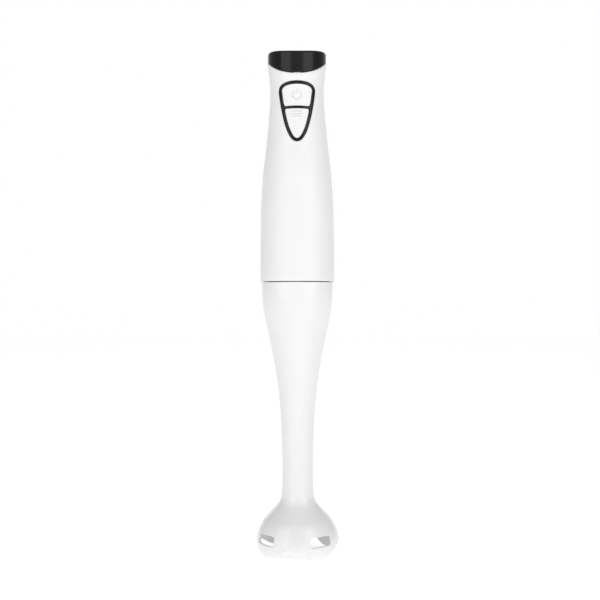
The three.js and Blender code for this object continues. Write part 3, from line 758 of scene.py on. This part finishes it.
def ridge(name, body, path, half_width, height):
    """A fine raised line on a button, along a path of (x, z) points."""
    build = Build()
    last = len(path) - 1
    rows = []
    for i, (x, z) in enumerate(path):
        along = (Vector(path[min(i + 1, last)]) - Vector(path[max(i - 1, 0)])).normalized()
        size = 0.35 if i in (0, last) else 1.0
        section = []
        for turn in steps(-20, 200, 8):
            offset = half_width * size * math.cos(math.radians(turn))
            rise = height * size * math.sin(math.radians(turn))
            section.append(on_case(x - along.y * offset, z + along.x * offset, BUTTON_PROUD + rise))
        rows.append(build.row(section))
    build.skin(rows, closed_rows=False)
    build.end(rows[0])
    build.end(rows[-1])
    add_piece(name, build.mesh(name), body, PRINT)


def make_button_marks():
    """A plain power sign on the upper button and three finger ridges on the lower one."""
    centre = 346.4
    radius = 3.5
    arc = [(radius * math.sin(turn), centre - radius * math.cos(turn))
           for turn in steps(math.radians(-142), math.radians(142), 36)]
    ridge("power_sign_arc", "on_button", arc, half_width=0.42, height=0.16)
    bar = [(0, centre + rise) for rise in steps(0.4, radius + 0.9, 6)]
    ridge("power_sign_bar", "on_button", bar, half_width=0.42, height=0.16)
    for i, height in enumerate((330.2, 332, 333.8)):
        half = 4.6 - abs(i - 1) * 0.7
        line = [(x, height) for x in steps(-half, half, 14)]
        ridge(f"finger_ridge_{i + 1}", "turbo_button", line, half_width=0.4, height=0.18)


def make_springs():
    """The two button springs, as steel coils spanning their CAD nodes."""
    for button in ("on_button", "turbo_button"):
        node = f"{button}_spring"
        lowest, highest = low(node), high(node)
        wire = 0.35
        coil = (highest.x - lowest.x) / 2 - wire
        middle = (highest.z + lowest.z) / 2
        start, end = lowest.y + wire, highest.y - wire
        build = Build()
        rows = []
        turns = 5
        for share in steps(0, 1, turns * 24):
            angle = 2 * math.pi * turns * share
            eased = min(1, max(0, (share * turns - 0.5) / (turns - 1)))
            y = start + (end - start) * eased
            section = []
            for around in steps(0, 2 * math.pi, 10)[:-1]:
                reach = coil + wire * math.cos(around)
                x, z = reach * math.cos(angle), middle + reach * math.sin(angle)
                section.append((x, y + wire * math.sin(around), z))
            rows.append(build.row(section))
        build.skin(rows, closed_rows=False)
        build.end(rows[0])
        build.end(rows[-1])
        piece = add_piece(f"{node}_coil", build.mesh(node, 50), "motor_unit", "steel", node)
        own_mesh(piece)


# ------------------------------------------------------------------ casing

def cap_seam(x):
    """Height of the seam under the cap: an arch, seen from the front, that turns up at its ends."""
    side = x / CAP_RADIUS
    return CAP_SEAM_FRONT + CAP_SEAM_RISE * side**2 + CAP_SEAM_FLICK * side**6


def case_top(azimuth):
    """Height of the casing's top edge at an azimuth."""
    height = CAP_SEAM_FRONT
    for _ in range(12):
        height = cap_seam(case_radius(height) * math.sin(math.radians(azimuth)))
    return height - 0.15


def make_shell(name, node, middle, hole=None):
    """Half of the casing, centred on an azimuth."""
    build = Build()
    split = 0.35
    cells = 72
    azimuths = [middle + side for side in steps(-90 + split, 90 - split, cells)]
    level_rows = 34
    fillet = 0.4
    level_top = 308
    bend_top = 358

    def upper(share):
        """A height that is level at the bottom of the buttons and follows the cap's seam at the top."""
        return lambda azimuth: bend_top + (case_top(azimuth) - fillet - bend_top) * share

    heights = [lambda _, z=z: z for z in steps(CASE_BOTTOM + fillet, level_top, level_rows)]
    heights += [lambda _, z=z: z for z in steps(level_top, bend_top + 1.4, 22)[1:]]
    heights += [upper(share) for share in (0.4, 0.7, 1)]
    last_level = len(heights) - 4

    def wall(radius_of):
        return [build.ring(azimuths, lambda a, h=h: (radius_of(h(a)), h(a))) for h in heights]

    outer, inner = wall(case_radius), wall(case_lining)

    def top_lip(i):
        def place(azimuth):
            edge = case_top(azimuth)
            return lip(case_radius(edge - fillet), case_lining(edge - fillet), edge, fillet)[i]
        return build.ring(azimuths, place)

    bottom = lip(case_radius(CASE_BOTTOM), case_lining(CASE_BOTTOM), CASE_BOTTOM, fillet, upwards=False)
    top = [top_lip(i) for i in range(1, 7)]
    foot = [build.ring(azimuths, lambda _, spot=spot: spot) for spot in bottom[::-1][1:-1]]
    if hole:
        columns = (cells // 4, 3 * cells // 4)
        rows = slice(level_rows, last_level + 1)
        through = hole.fill(build, outer[rows], columns, case_radius, inner=False)
        within = hole.fill(build, inner[rows], columns, case_lining, inner=True)
        build.bridge(through, within)
    section = outer + top + inner[::-1] + foot
    build.skin(section, closed_columns=False)
    for column in (0, -1):
        build.end([row[column] for row in section])
    add_piece(name, build.mesh(name, 50), "motor_unit", "white_satin", node)


def make_casing():
    button_hole = Hole(0, 336, lambda offset: loop_outline(LOOP["stroke"] / 2 + GAP + offset), 0.25)
    make_shell("front_half", "front_shell", 0, button_hole)
    make_shell("rear_half", "rear_shell", 180)


# ------------------------------------------------------------------ cap

def cap_roof(radius, azimuth):
    """Height of the cap's saddle-shaped top."""
    across = radius * math.sin(math.radians(azimuth))
    return CAP_TOP_FRONT + (TOP - CAP_TOP_FRONT) * (across / CAP_RADIUS) ** 2


def cap_edge(azimuth):
    """Radius of the cap's rounded top edge: softer at the sides than at the front and back."""
    return 2 + 0.8 * math.sin(math.radians(azimuth)) ** 2


def make_cap():
    columns = 144
    azimuths = [360 * j / columns for j in range(columns)]
    build = Build()
    lining = CAP_RADIUS - WALL
    cord = {"height": (low("cord_inlet_bush").z + high("cord_inlet_bush").z) / 2, "radius": 5.1}

    def seam(azimuth):
        return cap_seam(CAP_RADIUS * math.sin(math.radians(azimuth))) + 0.15

    def wall(radius, top_of, count):
        rows = []
        for share in steps(0, 1, count):
            rows.append(build.ring(azimuths, lambda a, s=share: (
                radius, seam(a) + 0.4 + (top_of(a) - seam(a) - 0.4) * s,
            )))
        return rows

    def shoulder(turn):
        def place(azimuth):
            edge = cap_edge(azimuth)
            radius = CAP_RADIUS - edge * (1 - math.cos(turn))
            return radius, cap_roof(radius, azimuth) - edge * (1 - math.sin(turn))
        return build.ring(azimuths, place)

    outer = wall(CAP_RADIUS, lambda a: cap_roof(CAP_RADIUS, a) - cap_edge(a), 10)
    shoulders = [shoulder(turn) for turn in steps(0, math.pi / 2, 8)[1:]]
    roof = [build.ring(azimuths, lambda a, r=r: (r, cap_roof(r, a))) for r in (16, 12, 8, 4, 0)]
    ceiling = [build.ring(azimuths, lambda a, r=r: (r, cap_roof(r, a) - WALL)) for r in (0, 6, 12, 17.5)]
    inner = wall(lining, lambda a: cap_roof(lining, a) - WALL - 0.5, 10)

    def under(i):
        return build.ring(azimuths, lambda a: lip(CAP_RADIUS, lining, seam(a), 0.4, upwards=False)[i])

    underside = [under(i) for i in range(6, 0, -1)]

    def cord_outline(offset):
        reach = cord["radius"] + offset
        turns = steps(0, 2 * math.pi, 48)[:-1]
        return [(reach * math.cos(turn), cord["height"] + reach * math.sin(turn)) for turn in turns]

    hole = Hole(180, cord["height"], cord_outline, 0.3)
    block = (columns // 2 - 8, columns // 2 + 8)
    through = hole.fill(build, outer[2:11], block, lambda _: CAP_RADIUS, inner=False)
    within = hole.fill(build, inner[2:11], block, lambda _: lining, inner=True)
    build.bridge(through, within)
    build.skin(outer + shoulders + roof + ceiling + inner[::-1] + underside)
    add_piece("cap_moulding", build.mesh("cap", 50), "motor_unit", "black_gloss", "top_cap")


def make_cord_inlet():
    """The bush that the mains lead would come out of, at the back of the cap."""
    lowest, highest = low("cord_inlet_bush"), high("cord_inlet_bush")
    flange = (highest.z - lowest.z) / 2
    bore = 3.3
    sleeve = 4.8
    face = highest.y
    seat = face - 1.7
    bush = turned("bush", [
        (bore, lowest.y, 0.4), (sleeve, lowest.y, 0.4), (sleeve, seat, 0), (flange, seat, 0.2),
        (flange, face - 0.9, 0.7), (flange - 1.6, face, 0.5), (bore, face, 0.7),
    ], 64, axis="Y")
    bush.transform(Matrix.Translation((0, 0, (lowest.z + flange) * MM)))
    add_piece("cord_bush", bush, "motor_unit", "black_plastic", "cord_inlet_bush")


# ------------------------------------------------------------------ lights and floor

FLOOR_LIFT = 0.55                 # brings the lit floor up to the white of the background
GLOW = [                          # (0 from the front to 1 from straight behind, strength)
    (0, 0.8), (0.5, 0.34), (0.86, 0.42), (0.93, 1.3), (1, 1.3),
]
SOFTBOX = {"elevation": 8, "distance": 1.3, "width": 0.9, "height": 1.7}    # degrees and metres


def make_softbox(name, azimuth, radiance):
    """A softbox aimed at the middle of the blender."""
    light = bpy.data.lights.new(name, "AREA")
    light.shape = "RECTANGLE"
    light.size = SOFTBOX["width"]
    light.size_y = SOFTBOX["height"]
    light.energy = radiance * math.pi * SOFTBOX["width"] * SOFTBOX["height"]
    lamp = bpy.data.objects.new(name, light)
    target = Vector((0, 0, 0.2))
    elevation = math.radians(SOFTBOX["elevation"])
    flat = SOFTBOX["distance"] * math.cos(elevation)
    lamp.location = target + Vector(polar(flat, azimuth, SOFTBOX["distance"] * math.sin(elevation)))
    lamp.rotation_euler = (target - lamp.location).to_track_quat("-Z", "Y").to_euler()
    lamp.visible_camera = False
    bpy.context.scene.collection.objects.link(lamp)


def make_world():
    """White behind the object, and a studio glow with a bright screen straight behind it."""
    world = bpy.data.worlds.new("studio")
    world.use_nodes = True
    nodes, links = world.node_tree.nodes, world.node_tree.links
    direction = nodes.new("ShaderNodeSeparateXYZ")
    links.new(nodes.new("ShaderNodeTexCoord").outputs["Generated"], direction.inputs["Vector"])
    glow = nodes.new("ShaderNodeFloatCurve")
    curve = glow.mapping.curves[0]
    curve.points[0].location = GLOW[0]
    curve.points[1].location = GLOW[-1]
    for place, strength in GLOW[1:-1]:
        curve.points.new(place, strength)
    for point in curve.points:
        point.handle_type = "VECTOR"
    glow.mapping.update()
    facing = nodes.new("ShaderNodeMapRange")
    facing.inputs["From Min"].default_value = -1
    links.new(direction.outputs["Y"], facing.inputs["Value"])
    links.new(facing.outputs["Result"], glow.inputs["Value"])
    unseen = nodes["Background"]
    links.new(glow.outputs["Value"], unseen.inputs["Strength"])
    unseen.inputs["Color"].default_value = (1, 1, 1, 1)
    seen = nodes.new("ShaderNodeBackground")
    seen.inputs["Color"].default_value = (1, 1, 1, 1)
    mixer = nodes.new("ShaderNodeMixShader")
    links.new(nodes.new("ShaderNodeLightPath").outputs["Is Camera Ray"], mixer.inputs["Fac"])
    links.new(unseen.outputs["Background"], mixer.inputs[1])
    links.new(seen.outputs["Background"], mixer.inputs[2])
    links.new(mixer.outputs["Shader"], nodes["World Output"].inputs["Surface"])
    bpy.context.scene.world = world
    bpy.context.scene.view_settings.view_transform = "Standard"


def make_floor():
    """A pale floor, bright enough to melt into the background where no shadow falls."""
    size = 4
    mesh = bpy.data.meshes.new("floor")
    corners = [(-size, -size, 0), (size, -size, 0), (size, size, 0), (-size, size, 0)]
    mesh.from_pydata(corners, [], [(0, 1, 2, 3)])
    shader = Shader("floor")
    paper = shader.noise(1.5, 4)
    shader.surface.inputs["Emission Color"].default_value = (1, 1, 1, 1)
    shader.surface.inputs["Emission Strength"].default_value = FLOOR_LIFT
    shader.surface.inputs["Specular IOR Level"].default_value = 0.1
    body = shader.tint(paper, (0.83, 0.83, 0.83), (0.86, 0.86, 0.86))
    gloss = shader.spread(paper, 0.3, 0.7, 0.7, 0.8)
    mesh.materials.append(shader.finish(body, gloss, shader.bump(paper, 0.01)))
    floor = bpy.data.objects.new("floor", mesh)
    bpy.context.scene.collection.objects.link(floor)


# ------------------------------------------------------------------ putting it together

finish_cad_nodes()
make_leg()
make_casing()
make_cap()
make_button_frame()
make_button("on_button", 1, 346)
make_button("turbo_button", -1, 327)
make_button_marks()
make_springs()
make_cord_inlet()
make_world()
make_floor()
make_softbox("right_softbox", 44, 1.42)
make_softbox("left_softbox", -44, 1.18)

bpy.context.view_layer.update()
